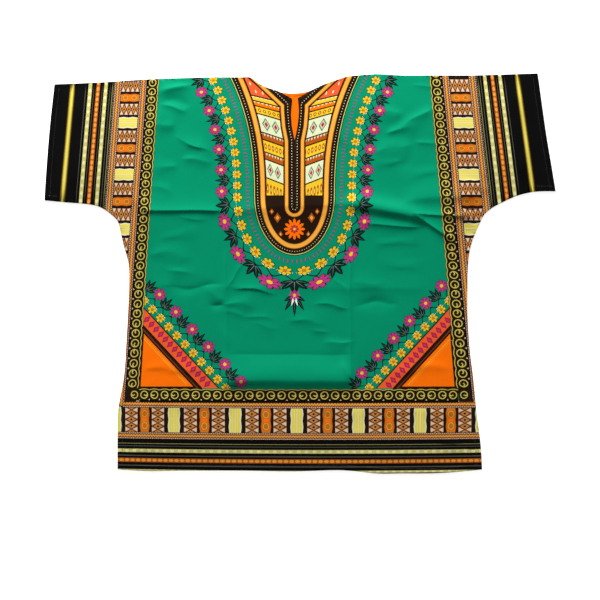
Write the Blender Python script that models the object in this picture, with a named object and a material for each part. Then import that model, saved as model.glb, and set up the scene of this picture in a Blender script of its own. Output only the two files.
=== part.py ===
"""A wide printed cotton pull-over shirt, laid out flat with its front up.

Metres, +Z up. X runs along the sleeves and Y from the hem to the shoulders. The origin is
under the middle of the shirt, on the surface that it lies on.

The shirt is cut as two pieces, a front and a back. Each has its half of both sleeves in one
with it, so there is no armhole seam. They are sewn along the shoulders, under the arms and
down the sides as far as the vents. The front is slit below the neck.

Tables and named sizes are in millimetres, and the meshes are made in metres.
"""

from collections import namedtuple

import bmesh
import bpy
import numpy as np
from mathutils import Vector
from mathutils.geometry import delaunay_2d_cdt

MM = 0.001

# The cloth
WALL = 1.2
SEAM_GAP = 0.3
PUFF_HEIGHT = 2.6
PUFF_REACH = 75.0
FOLD_REACH = 22.0
FOLD_END = 12.0
FOLD_TAPER = 4.0
FOLD_START = 0.35

# Spacing of the points that the panels are made from
RIM_SPACING = 15.0
FRONT_SPACING = 20.0
BACK_SPACING = 60.0
FOLD_SPACING = 16.0
CLEAR_OF_RIM = 0.55
CLEAR_OF_FOLD = 0.62

# Colours of the plain materials, linear red, green, blue
GREEN = (0.003, 0.255, 0.125)
ORANGE = (0.83, 0.16, 0.008)
COTTON_ROUGHNESS = 0.8

Point = namedtuple("Point", "x y")

# The outline, run by run, going round from the neck's corner at -X
SHOULDER_LEFT = (
    Point(-96.0, 380.2),
    Point(-177.5, 380.2),
    Point(-293.9, 376.4),
    Point(-387.0, 370.5),
    Point(-476.3, 366.7),
)
CUFF_LEFT = (
    Point(-476.3, 366.7),
    Point(-486.0, 277.4),
    Point(-492.8, 190.1),
    Point(-495.7, 141.6),
)
SIDE_LEFT = (
    Point(-495.7, 141.6),
    Point(-454.9, 137.7),
    Point(-410.3, 133.9),
    Point(-387.0, 128.0),
    Point(-367.6, 115.4),
    Point(-353.6, 101.9),
    Point(-349.7, 87.3),
    Point(-342.4, 56.3),
    Point(-334.6, 29.1),
    Point(-331.4, 5.8),
    Point(-332.7, -52.4),
    Point(-336.6, -130.0),
    Point(-340.5, -192.1),
    Point(-348.2, -238.6),
    Point(-353.1, -269.7),
    Point(-354.1, -324.0),
    Point(-354.1, -380.2),
)
HEM = (
    Point(-354.1, -380.2),
    Point(-293.9, -383.5),
    Point(-224.1, -382.6),
    Point(-107.7, -382.6),
    Point(-14.5, -384.1),
    Point(78.6, -381.8),
    Point(148.4, -388.0),
    Point(195.0, -388.0),
    Point(264.8, -387.6),
    Point(334.6, -382.6),
    Point(353.1, -380.2),
)
SIDE_RIGHT = (
    Point(353.1, -380.2),
    Point(350.2, -331.7),
    Point(342.4, -269.7),
    Point(338.5, -230.9),
    Point(334.6, -192.1),
    Point(328.8, -145.5),
    Point(324.9, -83.4),
    Point(324.9, -5.8),
    Point(326.9, 29.1),
    Point(332.7, 58.2),
    Point(344.3, 87.3),
    Point(357.9, 114.5),
    Point(371.5, 126.1),
    Point(392.8, 137.7),
    Point(423.9, 151.3),
    Point(458.8, 158.5),
    Point(495.7, 159.1),
)
CUFF_RIGHT = (
    Point(495.7, 159.1),
    Point(487.9, 207.6),
    Point(476.3, 277.4),
    Point(460.8, 388.0),
)
SHOULDER_RIGHT = (
    Point(460.8, 388.0),
    Point(404.5, 386.1),
    Point(334.6, 384.1),
    Point(264.8, 384.1),
    Point(195.0, 384.1),
    Point(148.4, 386.5),
    Point(92.1, 382.2),
)
FRONT_NECK_RIGHT = (
    Point(92.1, 382.2),
    Point(63.0, 372.5),
    Point(39.8, 363.7),
    Point(22.3, 355.0),
    Point(-4.3, 339.5),
)
SLIT_RIGHT = (
    Point(-4.3, 339.5),
    Point(-2.3, 316.2),
    Point(-4.6, 287.1),
    Point(-10.3, 258.0),
)
SLIT_LEFT = (
    Point(-10.3, 258.0),
    Point(-16.2, 287.1),
    Point(-17.8, 316.2),
    Point(-15.5, 338.5),
)
FRONT_NECK_LEFT = (
    Point(-15.5, 338.5),
    Point(-41.7, 353.1),
    Point(-65.0, 360.8),
    Point(-80.5, 368.6),
    Point(-96.0, 380.2),
)
BACK_NECK = (
    Point(92.1, 382.2),
    Point(55.3, 367.2),
    Point(35.9, 360.8),
    Point(16.5, 353.1),
    Point(-10.7, 348.8),
    Point(-37.8, 351.1),
    Point(-61.1, 358.0),
    Point(-80.5, 366.7),
    Point(-96.0, 380.2),
)

BODY_RUNS = (
    SHOULDER_LEFT,
    CUFF_LEFT,
    SIDE_LEFT,
    HEM,
    SIDE_RIGHT,
    CUFF_RIGHT,
    SHOULDER_RIGHT,
)
FRONT_RUNS = BODY_RUNS + (FRONT_NECK_RIGHT, SLIT_RIGHT, SLIT_LEFT, FRONT_NECK_LEFT)
BACK_RUNS = BODY_RUNS + (BACK_NECK,)

# The largest folds. Each crest runs from the first point to the second, and bow pushes its
# middle to the left of that way. before and after are how far it reaches to its left and right.
Fold = namedtuple("Fold", "x0 y0 x1 y1 bow before after height")
FOLDS = (
    Fold(-318.0, 118.0, -150.0, 121.0, 1.5, 30.0, 9.0, 3.4),
    Fold(-150.0, 121.0, 98.0, 131.0, 3.0, 24.0, 10.0, 1.6),
    Fold(98.0, 132.0, 232.0, 104.0, 5.0, 26.0, 9.0, 3.6),
    Fold(232.0, 104.0, 292.0, 66.0, 4.0, 14.0, 8.0, 2.6),
    Fold(136.0, 99.0, 226.0, 92.0, -4.0, 7.0, 10.0, 2.2),
    Fold(222.0, 111.0, 352.0, 116.0, -2.0, 16.0, 8.0, 1.8),
    Fold(-290.0, -20.0, 250.0, -26.0, -4.0, 20.0, 13.0, 1.2),
    Fold(-186.0, -214.0, 200.0, -215.0, -3.0, 52.0, 9.0, 3.0),
    Fold(-146.0, 60.0, -143.0, -205.0, 2.0, 9.0, 7.0, 1.5),
    Fold(98.0, 50.0, 101.0, -212.0, -2.0, 8.0, 9.0, 1.5),
    Fold(152.0, 262.0, 262.0, 322.0, 6.0, 17.0, 13.0, 2.6),
    Fold(-238.0, 262.0, -172.0, 232.0, 4.0, 14.0, 10.0, 2.2),
    Fold(196.0, 138.0, 262.0, 141.0, 3.0, 13.0, 13.0, -1.9),
    Fold(-172.0, -56.0, -138.0, -8.0, 3.0, 12.0, 12.0, -1.6),
)


def smooth_run(stations, spacing):
    """Points about spacing apart on a smooth curve through the stations, without the last."""
    places = [np.array(s, float) for s in stations]
    places = [2 * places[0] - places[1]] + places + [2 * places[-1] - places[-2]]
    points = []
    for before, start, end, after in zip(places, places[1:], places[2:], places[3:]):
        steps = max(1, round(float(np.linalg.norm(end - start)) / spacing))
        for step in range(steps):
            t = step / steps
            turn = (end - before) / 2 * (t**3 - 2 * t**2 + t)
            turn += (after - start) / 2 * (t**3 - t**2)
            points.append(start * (2 * t**3 - 3 * t**2 + 1) + end * (3 * t**2 - 2 * t**3) + turn)
    return points


def closed_outline(runs, spacing):
    """The closed outline that the runs make, end to end."""
    return np.array([p for run in runs for p in smooth_run(run, spacing)])


def middle_of(outline):
    """The middle of the outline's box."""
    return (outline.min(0) + outline.max(0)) / 2


def inside(points, outline):
    """True for each point that lies inside the closed outline."""
    x, y = points[:, 0, None], points[:, 1, None]
    start, end = outline, np.roll(outline, -1, 0)
    spans = (start[:, 1] > y) != (end[:, 1] > y)
    rise = np.where(end[:, 1] == start[:, 1], 1.0, end[:, 1] - start[:, 1])
    crossing = start[:, 0] + (y - start[:, 1]) * (end[:, 0] - start[:, 0]) / rise
    return (spans & (x < crossing)).sum(1) % 2 == 1


def distance_to_line(points, line):
    """How far each point is from the nearest stretch of the line, a row of points."""
    start, way = line[:-1], np.diff(line, axis=0)
    length = np.maximum((way**2).sum(1), 1e-12)
    offset = points[:, None] - start[None]
    along = np.clip((offset * way).sum(2) / length, 0.0, 1.0)
    return np.linalg.norm(offset - along[..., None] * way, axis=2).min(1)


def rim_distance(points, outline):
    return distance_to_line(points, np.vstack([outline, outline[:1]]))


def ease(value):
    """0 up to 0 and 1 from 1, with a smooth rise between them."""
    t = np.clip(value, 0.0, 1.0)
    return t * t * (3 - 2 * t)


def fold_points(fold, spacing):
    """Points along a fold's crest."""
    start, end = np.array([fold.x0, fold.y0]), np.array([fold.x1, fold.y1])
    way = end - start
    left = np.array([-way[1], way[0]]) / np.linalg.norm(way)
    count = max(3, round(float(np.linalg.norm(way)) / spacing))
    t = np.linspace(0.0, 1.0, count + 1)[:, None]
    return start + t * way + 4 * fold.bow * t * (1 - t) * left


def fold_height(fold, points):
    """How much a fold lifts each point: steepest beside its crest, and nothing past its ends."""
    start, end = np.array([fold.x0, fold.y0]), np.array([fold.x1, fold.y1])
    way = end - start
    length = float(np.linalg.norm(way))
    ahead, left = way / length, np.array([-way[1], way[0]]) / length
    offset = points - start
    t = offset @ ahead / length
    inner = np.clip(t, 0.0, 1.0)
    across = offset @ left - 4 * fold.bow * inner * (1 - inner)
    reach = np.where(across > 0, fold.before, fold.after)
    past = (t - inner) * length
    taper = ease(np.minimum(t, 1 - t) * FOLD_TAPER + FOLD_START)
    return fold.height * taper * np.exp(-((across / reach) ** 2) - (past / FOLD_END) ** 2)


def underside_height(points, outline):
    """How high the front's inner face lies over the top of the back."""
    rim = rim_distance(points, outline)
    puff = PUFF_HEIGHT * ease(rim / PUFF_REACH)
    folds = sum(fold_height(fold, points) for fold in FOLDS)
    return np.maximum(puff + folds * ease(rim / FOLD_REACH), 0.0)


def grid_inside(outline, spacing, keep_off):
    """A square grid of points inside the outline, clear of its rim and of the given lines."""
    low, high = outline.min(0), outline.max(0)
    columns = np.arange(low[0] + spacing / 2, high[0], spacing)
    rows = np.arange(low[1] + spacing / 2, high[1], spacing)
    points = np.array([(x, y) for y in rows for x in columns])
    points = points[inside(points, outline)]
    points = points[rim_distance(points, outline) > CLEAR_OF_RIM * spacing]
    for line in keep_off:
        points = points[distance_to_line(points, line) > CLEAR_OF_FOLD * spacing]
    return points


def fold_lines(outline):
    """The crest of each fold and a line on either side of it, as far as they lie inside."""
    lines = []
    for fold in FOLDS:
        crest = fold_points(fold, FOLD_SPACING)
        way = crest[-1] - crest[0]
        left = np.array([-way[1], way[0]]) / np.linalg.norm(way)
        for shift in (0.0, min(fold.before, FOLD_END), -min(fold.after, FOLD_END)):
            line = crest + shift * left
            keep = inside(line, outline) & (rim_distance(line, outline) > RIM_SPACING / 2)
            if keep.sum() > 1:
                lines.append(line[keep])
    return lines


def spread_apart(points, least):
    """The points without any that is closer than least to an earlier one."""
    kept = []
    for point in points:
        if all(np.hypot(*(point - other)) >= least for other in kept):
            kept.append(point)
    return kept


def triangulate(outline, inner_points):
    """Places and triangles of the area inside the outline."""
    places = [Vector(p) for p in list(outline) + list(inner_points)]
    rim = list(range(len(outline)))
    flat = delaunay_2d_cdt(places, [], [rim], 0, 1e-4)
    triangles = [f for f, sources in zip(flat[2], flat[5]) if sources]
    return np.array([tuple(p) for p in flat[0]]), triangles


def rim_edges(triangles):
    """The edges that only one triangle has, each in that triangle's direction."""
    edges = {(a, b) for t in triangles for a, b in zip(t, t[1:] + t[:1])}
    return sorted(e for e in edges if e[::-1] not in edges)


def wall_object(name, places, triangles, low, high, material):
    """One closed wall between the heights low and high, as an object."""
    count = len(places)
    mesh = bpy.data.meshes.new(name)
    form = bmesh.new()
    corners = [(x, y, z) for (x, y), z in zip(places, low)]
    corners += [(x, y, z) for (x, y), z in zip(places, high)]
    points = [form.verts.new(Vector(c) * MM) for c in corners]
    for a, b, c in triangles:
        form.faces.new((points[c], points[b], points[a]))
        form.faces.new((points[a + count], points[b + count], points[c + count]))
    for a, b in rim_edges(triangles):
        form.faces.new((points[a], points[b], points[b + count]))
        form.faces.new((points[a], points[b + count], points[a + count]))
    form.to_mesh(mesh)
    form.free()
    mesh.materials.append(material)
    part = bpy.data.objects.new(name, mesh)
    bpy.context.scene.collection.objects.link(part)
    return part


def cotton(name, colour):
    material = bpy.data.materials.new(name)
    material.use_nodes = True
    shader = material.node_tree.nodes["Principled BSDF"]
    shader.inputs["Base Color"].default_value = (*colour, 1.0)
    shader.inputs["Roughness"].default_value = COTTON_ROUGHNESS
    shader.inputs["Metallic"].default_value = 0.0
    return material


def back_panel(middle):
    """The back, flat on the surface below."""
    outline = closed_outline(BACK_RUNS, RIM_SPACING)
    grid = grid_inside(outline, BACK_SPACING, [])
    places, triangles = triangulate(outline, grid)
    flat = np.zeros(len(places))
    cloth = cotton("cotton_back", ORANGE)
    return wall_object("back_panel", places - middle, triangles, flat, flat + WALL, cloth)


def front_panel(middle):
    """The front, which lies on the back with its folds and soft swells."""
    outline = closed_outline(FRONT_RUNS, RIM_SPACING)
    lines = fold_lines(outline)
    crests = spread_apart([p for line in lines for p in line], FOLD_SPACING / 2)
    grid = grid_inside(outline, FRONT_SPACING, lines)
    places, triangles = triangulate(outline, crests + list(grid))
    low = WALL + SEAM_GAP + underside_height(places, outline)
    cloth = cotton("cotton_front", GREEN)
    return wall_object("front_panel", places - middle, triangles, low, low + WALL, cloth)


def main():
    for old in list(bpy.data.objects):
        bpy.data.objects.remove(old)
    middle = middle_of(closed_outline(BACK_RUNS, RIM_SPACING))
    back_panel(middle)
    front_panel(middle)


main()
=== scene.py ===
"""The looks of a wide printed cotton pull-over shirt that lies flat with its front up.

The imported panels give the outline. The cloth is a thin shell on each panel's form, with the
main folds of the solids and many finer creases. The print is in the cloth's own faces: areas of
one colour each, whose edges are edges of the mesh, so it stays sharp from any distance. Each ink
is a cotton material with its weave, its nap and a slightly uneven dye.

Tables and named sizes are in millimetres, and the meshes are made in metres.
"""

import math
from collections import namedtuple

import bpy
import numpy as np
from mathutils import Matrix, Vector, noise
from mathutils.geometry import delaunay_2d_cdt
from mathutils.kdtree import KDTree


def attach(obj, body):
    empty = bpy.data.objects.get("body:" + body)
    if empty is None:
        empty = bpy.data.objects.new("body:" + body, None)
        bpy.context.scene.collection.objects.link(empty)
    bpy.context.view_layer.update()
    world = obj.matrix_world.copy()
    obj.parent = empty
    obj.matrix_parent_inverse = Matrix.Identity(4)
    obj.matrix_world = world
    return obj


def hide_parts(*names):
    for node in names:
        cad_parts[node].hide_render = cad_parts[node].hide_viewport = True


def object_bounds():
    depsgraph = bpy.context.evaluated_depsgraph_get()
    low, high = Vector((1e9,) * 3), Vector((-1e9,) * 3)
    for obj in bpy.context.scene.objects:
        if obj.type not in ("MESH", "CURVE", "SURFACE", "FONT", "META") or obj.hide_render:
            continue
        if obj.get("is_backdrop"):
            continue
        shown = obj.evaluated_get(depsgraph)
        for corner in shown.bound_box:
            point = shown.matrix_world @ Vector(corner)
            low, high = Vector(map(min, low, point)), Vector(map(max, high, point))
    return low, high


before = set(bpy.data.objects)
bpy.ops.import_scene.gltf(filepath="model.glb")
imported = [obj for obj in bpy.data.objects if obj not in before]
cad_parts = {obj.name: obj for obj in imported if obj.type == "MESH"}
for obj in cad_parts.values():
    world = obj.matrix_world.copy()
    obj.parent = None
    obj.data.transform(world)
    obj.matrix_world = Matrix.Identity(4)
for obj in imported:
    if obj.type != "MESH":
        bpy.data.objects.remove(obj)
cad_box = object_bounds()

MM = 0.001

# The cloth, as in the solids
WALL = 1.2
SEAM_GAP = 0.3
PUFF_HEIGHT = 2.6
PUFF_REACH = 75.0
FOLD_REACH = 22.0
FOLD_END = 12.0
FOLD_FADE = 34.0
FOLD_START = 0.15
FOLD_CUSP = 0.8

# Finer form of the cloth
HEM_WIDTH = 12.0
HEM_STEP = 0.3
HEM_SLOPE = 1.6
EDGE_ROLL = 1.5
EDGE_DROP = 0.5
NECK_LIFT = 1.0
NECK_LIFT_REACH = 16.0
NECK_HEM = 5.0
NECK_HEM_HALF = 36.0
NECK_HEM_HEIGHT = 0.35
NECK_HEM_SLOPE = 1.6
BACK_SHARE = 0.22
UNDER_SHARE = 0.4
RIPPLE = 0.34
RIPPLE_LENGTH = 58.0
FINE_RIPPLE = 0.09
FINE_RIPPLE_LENGTH = 17.0

# The flat map of each panel: its printed face at full size and its lining small in a corner
MAP_PLACE = (0.5, 0.605)
MAP_CORNER = (0.11, 0.1)
MAP_SMALL = 0.2

# The stitches
STITCH_PITCH = 3.2
STITCH_LENGTH = 2.5
STITCH_RADIUS = 0.24
STITCH_SINK = 0.04
HEM_STITCH_IN = 10.0
NECK_STITCH_IN = 3.0

# Spacing of the points of the meshes
RIM_SPACING = 7.0
TOP_SPACING = 6.8
LINING_SPACING = 12.0
ROW_SHARE = 0.87
CREASE_SPACING = 4.2
CREST_SPACING = 9.0
CREASE_FLANK = 12.0
CREST_HALF = 1.3
CELL = 1.1
PRINT_CELL = 3.4
EDGE_SAMPLE = 1.0
INSET_SHARE = 0.85
SLOPE_STEP = 0.4
CORNER_TURN = math.radians(38)

Fold = namedtuple("Fold", "x0 y0 x1 y1 bow before after height pinch", defaults=(2.0,))


def folds(*rows):
    """The folds of a table, whose columns are the names of a Fold."""
    return tuple(Fold(*map(float, row)) for row in rows)


# The largest folds, which are the solids' own made sharper and higher, and the press lines. Each
# crest runs from x0, y0 to x1, y1, and bow pushes its middle to the left of that way. before and
# after are its reach to left and right. A pinch of 2 is a soft round crest, and of 1 a sharp one.
MAIN_FOLDS = folds(
    # across the chest
    (-330, 120, 330, 116, 0, 100, 70, 3.4, 1),
    (-318, 122, -142, 121.5, 1, 14, 4.5, 3.6, 1),
    (-240, 112, -176, 105, -4, 8, 4, 0.9, 1),
    (-142, 122, 98, 134, 3, 18, 10, 2, 1.3),
    (82, 139, 243, 108, 3, 17, 13, 7.2, 1.9),
    (219, 117, 306, 54, 2, 12, 4.5, 4.2, 1),
    (112, 101, 238, 90, -3, 13, 7, 3, 1),
    (216, 117, 356, 110, 0, 9, 4, 2.8, 1),
    (196, 141, 356, 150, 4, 26, 12, 3.4, 1.6),
    # the press lines
    (-290, -21, 250, -27, -3, 16, 10, 0.9, 1.3),
    (-146, 44, -143, -205, 2, 4, 5, 1, 1),
    (98, 40, 101, -214, -2, 4, 6, 1.1, 1),
    (-144, -157, 108, -157, 0, 9, 16, -1.4, 1),
    (-158, -205, 114, -208, 3, 36, 17, 7.4, 1.8),
)

# The finer creases
CREASES = folds(
    # left shoulder and sleeve
    (-286, 359, -206, 362, 0, 12, 9, 3.9, 1.2),
    (-260, 340, -212, 329, 0, 9, 9, -1.7),
    (-268, 325, -216, 313, 1, 9, 7, 2, 1.2),
    (-294, 292, -239, 291, 1, 17, 17, 3, 1.3),
    (-241, 261, -173, 232, -1.5, 17, 5, 3.6, 1),
    (-232, 223, -168, 220, 1, 8, 11, 2.1, 1.2),
    (-290, 209, -237, 202, 1, 9, 11, 1.7, 1.3),
    (-294, 164, -236, 158, 1, 10, 11, 1.4, 1.3),
    # right shoulder and sleeve
    (212, 363, 266, 367, 0, 5, 5, 0.9, 1.2),
    (198, 283, 267, 323, 2, 8, 13, 2.9, 1.2),
    (162, 271, 225, 286, 1.5, 9, 10, 2.9, 1.3),
    (148, 307, 202, 307, 1, 9, 9, 2),
    (136, 234, 222, 249, 2, 12, 22, 2.6, 1.2),
    (222, 257, 274, 245, 1, 7, 7, 1.2, 1.2),
    # below the chest
    (-301, 43, -208, 30, 2, 10, 10, 1.3, 1.3),
    (-259, -26, -153, -25, 0, 9, 8, -2, 1.2),
    (-262, 8, -204, -4, 2, 8, 9, 1.3, 1.3),
    (-149, -32, -105, 19, 1, 6, 4, 1.2, 1),
    (-182, -35, -136, -48, 0, 8, 10, 1.8, 1.3),
    (-182, -61, -136, -57, 0, 6, 8, -1.6, 1.3),
    (-132, -28, -44, -37, 1, 12, 4, 2.1, 1),
    (-152, -57, -82, -59, 1, 9, 10, 2, 1.2),
    (-150, -77, -98, -81, 1, 8, 9, 1, 1.3),
    (-114, -83, -48, -89, 2, 6, 6, 0.8, 1.2),
    (-92, -100, -36, -107, -2, 6, 6, 0.7, 1.2),
    (-32, -87, 54, -94, 1, 9, 8, 1.6, 1.2),
    (14, -107, 62, -113, 1, 7, 7, 0.9, 1.2),
    (24, -57, 102, -64, 1, 11, 6, 1.8, 1.1),
    (90, -16, 166, -16, 1, 10, 12, 1.4, 1.3),
    (106, -61, 186, -58, 0, 10, 7, -2.1, 1.2),
    (61, 6, 99, -54, 0, 4, 6, 0.8, 1),
    (40, -141, 110, -129, 0, 4, 12, 1.6, 1.1),
    (80, -167, 100, -215, 1, 4, 6, 1.6, 1),
    (-154, -95, -126, -159, 1, 8, 8, 0.8),
    (140, 210, 206, 224, -2, 9, 7, 0.9),
    (194, 184, 278, 200, 3, 12, 10, 1),
    (140, 59, 242, 69, -3, 9, 8, 0.8),
    (148, 23, 246, 11, 2, 10, 9, 0.7),
    (-280, 71, -190, 79, 2, 9, 9, 0.7),
    # sleeves, hem and yoke
    (-304, -180, -176, -190, 3, 9, 7, 1),
    (176, -186, 296, -178, -3, 9, 8, 1),
    (-322, -262, -120, -256, 2, 16, 10, 1),
    (20, -262, 322, -266, -2, 14, 12, 1),
    (-330, -344, -60, -350, 3, 12, 10, 0.9),
    (60, -350, 330, -342, -3, 12, 10, 0.9),
    (-452, 340, -430, 160, 4, 12, 10, 0.9),
    (-400, 352, -392, 150, -3, 12, 10, 0.9),
    (414, 366, 436, 180, 3, 12, 12, 1),
    (-336, 168, -300, 110, 3, 9, 8, 1.2),
    (300, 140, 352, 88, -4, 9, 9, 1.3),
    (310, 182, 380, 160, -3, 10, 8, 1),
    (-120, 330, -86, 250, 3, 9, 9, 1),
    (66, 330, 92, 236, -3, 9, 9, 1),
    (-96, 196, -66, 92, 3, 9, 8, 0.9),
    (58, 210, 46, 100, 3, 9, 8, 0.9),
)

# How far the crests waver to and fro, and over what length
Waver = namedtuple("Waver", "swing length")
MAIN_WAVER = Waver(0.5, 40.0)
FINE_WAVER = Waver(2.7, 26.0)

# The open, turned edges, where the outline lies beyond these lines
CUFF_BEYOND_LEFT = -470.0
CUFF_BEYOND_RIGHT = 456.0
VENT_BELOW = -196.0
NECK_ABOVE = 120.0
NECK_HALF_WIDTH = 104.0
NECK_CENTRE = -10.7

# Where the print lies. The frame of the print runs down both sides and along the hem. Its inner
# edge is a slanted line on either side, x = at the shoulder + slope * (y - SHOULDER).
SHOULDER = 374.4
CORNER_Y = -223.1
Side = namedtuple("Side", "sign frame_x frame_slope cuff_x cuff_slope squeeze")
LEFT = Side(-1, -273.9, 0.0661, -474.3, 0.0955, 0.026)
RIGHT = Side(1, 252.2, -0.0865, 463.2, -0.1500, 0.097)
SIDES = (LEFT, RIGHT)
BAND_SPAN = 200.0
SQUEEZE_FROM = 100.0
GATHER = 0.000227
GATHER_FROM = 23.0
GATHER_TO = 584.0

# The inks, as display colours from 0 to 255
INKS = {
    "green": (0, 140, 101),
    "black": (9, 9, 9),
    "charcoal": (82, 80, 72),
    "olive": (140, 134, 72),
    "pale": (198, 190, 104),
    "chalk": (224, 218, 168),
    "cream": (222, 224, 184),
    "straw": (198, 184, 84),
    "blush": (222, 196, 162),
    "orange": (255, 113, 4),
    "tangerine": (208, 114, 32),
    "amber": (242, 168, 62),
    "honey": (224, 156, 66),
    "gold": (232, 190, 40),
    "lemon": (228, 210, 84),
    "mustard": (160, 138, 40),
    "bronze": (184, 110, 26),
    "plum": (136, 100, 128),
    "moss": (92, 76, 24),
    "ochre": (208, 140, 76),
    "rust": (174, 82, 18),
    "brown": (104, 52, 32),
    "umber": (34, 20, 11),
    "mauve": (166, 118, 92),
    "vermilion": (234, 92, 44),
    "crimson": (178, 30, 58),
    "magenta": (186, 52, 124),
    "white": (236, 246, 238),
    "leaf": (12, 32, 30),
    "vein": (104, 132, 118),
}
INK_SLOT = {ink: i for i, ink in enumerate(INKS)}
ALBEDO = 0.76
DYE_SPREAD = 0.06
DYE_SCALE = 26.0
DYE_DETAIL = 5.0
DYE_ROUGHNESS = 0.7
THREAD_SPACING = 1.1
THREAD_HEIGHT = 0.12
THREAD_WAVER = 0.6
THREAD_WAVER_SCALE = 0.5
WAVE_PERIOD = 0.314
WEAVE_STRENGTH = 0.35
CLOTH_ROUGHNESS = 0.72
CLOTH_SPECULAR = 0.03
NAP_WEIGHT = 0.02
NAP_ROUGHNESS = 0.4
STITCH_RGB = (38, 30, 28)
STITCH_ROUGHNESS = 0.6
FLOOR_ROUGHNESS = 0.9

# The studio, in metres
FLOOR_HALF = 4.0
FLOOR_Z = -0.0004
FLOOR_RGB = (252, 252, 252)
FLOOR_GLOW = 0.66
SKY_STRENGTH = 0.34
KEY_PLACE = (-0.6, 3.3, 1.2)
KEY_SIZE = 0.5
KEY_ENERGY = 370.0
SENSOR = 0.036
CAMERA_HEIGHT = 6.0
CAMERA_Y = -0.0514
FRAME_WIDTH = 1.164


def placed(name, data):
    """A new object in the scene."""
    made = bpy.data.objects.new(name, data)
    bpy.context.scene.collection.objects.link(made)
    return made


# The outline and the height of the cloth


def outer_loop(edges):
    """The longest loop of the directed edges that no face has on its other side."""
    following = dict([e for e in edges if e[::-1] not in edges])
    loops = []
    while following:
        first, _ = next(iter(following.items()))
        loop = [first]
        while loop[-1] in following:
            loop.append(following.pop(loop[-1]))
        loops.append(loop[:-1])
    return max(loops, key=len)


def rim_of(node):
    """The outline of a panel's upper face, read from its solid, anticlockwise."""
    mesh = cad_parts[node].data
    key = [tuple(round(c / MM, 3) for c in v.co[:2]) for v in mesh.vertices]
    edges = set()
    for face in mesh.polygons:
        if face.normal.z > 0.2:
            corners = [key[i] for i in face.vertices]
            edges.update(zip(corners, corners[1:] + corners[:1]))
    return np.array(outer_loop(edges))


def finer_loop(loop, spacing):
    """The closed loop with points about spacing apart, smooth but for its real corners."""
    back, ahead = np.roll(loop, 1, 0), np.roll(loop, -1, 0)
    way_in, way_out = loop - back, ahead - loop
    turn = np.arctan2(
        way_in[:, 0] * way_out[:, 1] - way_in[:, 1] * way_out[:, 0], (way_in * way_out).sum(1)
    )
    sharp = np.abs(turn) > CORNER_TURN
    points = []
    for i, start in enumerate(loop):
        j = (i + 1) % len(loop)
        end, span = loop[j], way_out[i]
        leave = span if sharp[i] else (loop[j] - back[i]) / 2
        arrive = span if sharp[j] else (ahead[j] - loop[i]) / 2
        steps = max(1, round(float(np.linalg.norm(span)) / spacing))
        for t in np.arange(steps) / steps:
            blend = 3 * t**2 - 2 * t**3
            curve = leave * (t**3 - 2 * t**2 + t) + arrive * (t**3 - t**2)
            points.append(start * (1 - blend) + end * blend + curve)
    return np.array(points)


def inside(points, outline):
    """True for each point that lies inside the closed outline."""
    x, y = points[:, 0, None], points[:, 1, None]
    start, end = outline, np.roll(outline, -1, 0)
    spans = (start[:, 1] > y) != (end[:, 1] > y)
    rise = np.where(end[:, 1] == start[:, 1], 1.0, end[:, 1] - start[:, 1])
    crossing = start[:, 0] + (y - start[:, 1]) * (end[:, 0] - start[:, 0]) / rise
    return (spans & (x < crossing)).sum(1) % 2 == 1


class Edges:
    """Straight stretches, for the distance from each point to the nearest of them."""

    def __init__(self, start, end):
        self.start = start
        self.way = end - start
        self.square = np.maximum((self.way**2).sum(1), 1e-12)
        samples = []
        for k, length in enumerate(np.sqrt(self.square)):
            for share in np.linspace(0.0, 1.0, math.ceil(length / EDGE_SAMPLE) + 1):
                samples.append((*(start[k] + share * self.way[k]), k))
        self.tree = KDTree(len(samples))
        for x, y, k in samples:
            self.tree.insert((x, y, 0.0), k)
        self.tree.balance()

    def distance(self, points):
        near = np.array([self.tree.find((x, y, 0.0))[1] for x, y in points.tolist()])
        offset = points - self.start[near]
        along = np.clip((offset * self.way[near]).sum(1) / self.square[near], 0.0, 1.0)
        return np.linalg.norm(offset - along[:, None] * self.way[near], axis=1)


def ease(value):
    """0 up to 0 and 1 from 1, with a smooth rise between them."""
    t = np.clip(value, 0.0, 1.0)
    return t * t * (3 - 2 * t)


def crest(fold, spacing):
    """Points along a fold's crest, and the way to its left."""
    start, end = np.array([fold.x0, fold.y0]), np.array([fold.x1, fold.y1])
    way = end - start
    left = np.array([-way[1], way[0]]) / np.linalg.norm(way)
    count = max(3, round(float(np.linalg.norm(way)) / spacing))
    t = np.linspace(0.0, 1.0, count + 1)[:, None]
    return start + t * way + 4 * fold.bow * t * (1 - t) * left, left


def wavered(points, waver):
    """The points pushed a little to and fro."""
    x, y = points[:, 0] / waver.length, points[:, 1] / waver.length
    across = np.sin(1.3 * x + 2.1 * y + 1.0) + np.sin(2.7 * x - 1.7 * y)
    up = np.sin(1.9 * x - 2.3 * y + 2.0) + np.sin(0.8 * x + 3.1 * y)
    return points + waver.swing * np.stack([across, up], 1)


def fold_height(fold, points):
    """How much a fold lifts each point: most at its crest, and nothing past its ends."""
    start, end = np.array([fold.x0, fold.y0]), np.array([fold.x1, fold.y1])
    way = end - start
    length = float(np.linalg.norm(way))
    ahead, left = way / length, np.array([-way[1], way[0]]) / length
    offset = points - start
    t = offset @ ahead / length
    inner = np.clip(t, 0.0, 1.0)
    across = offset @ left - 4 * fold.bow * inner * (1 - inner)
    reach = np.where(across > 0, fold.before, fold.after)
    far = np.sqrt(across**2 + FOLD_CUSP**2) - FOLD_CUSP
    past = (t - inner) * length
    fade = min(FOLD_FADE, length / 2)
    taper = ease(np.minimum(t, 1 - t) * length / fade + FOLD_START)
    return fold.height * taper * np.exp(-((far / reach) ** fold.pinch) - (past / FOLD_END) ** 2)


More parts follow.
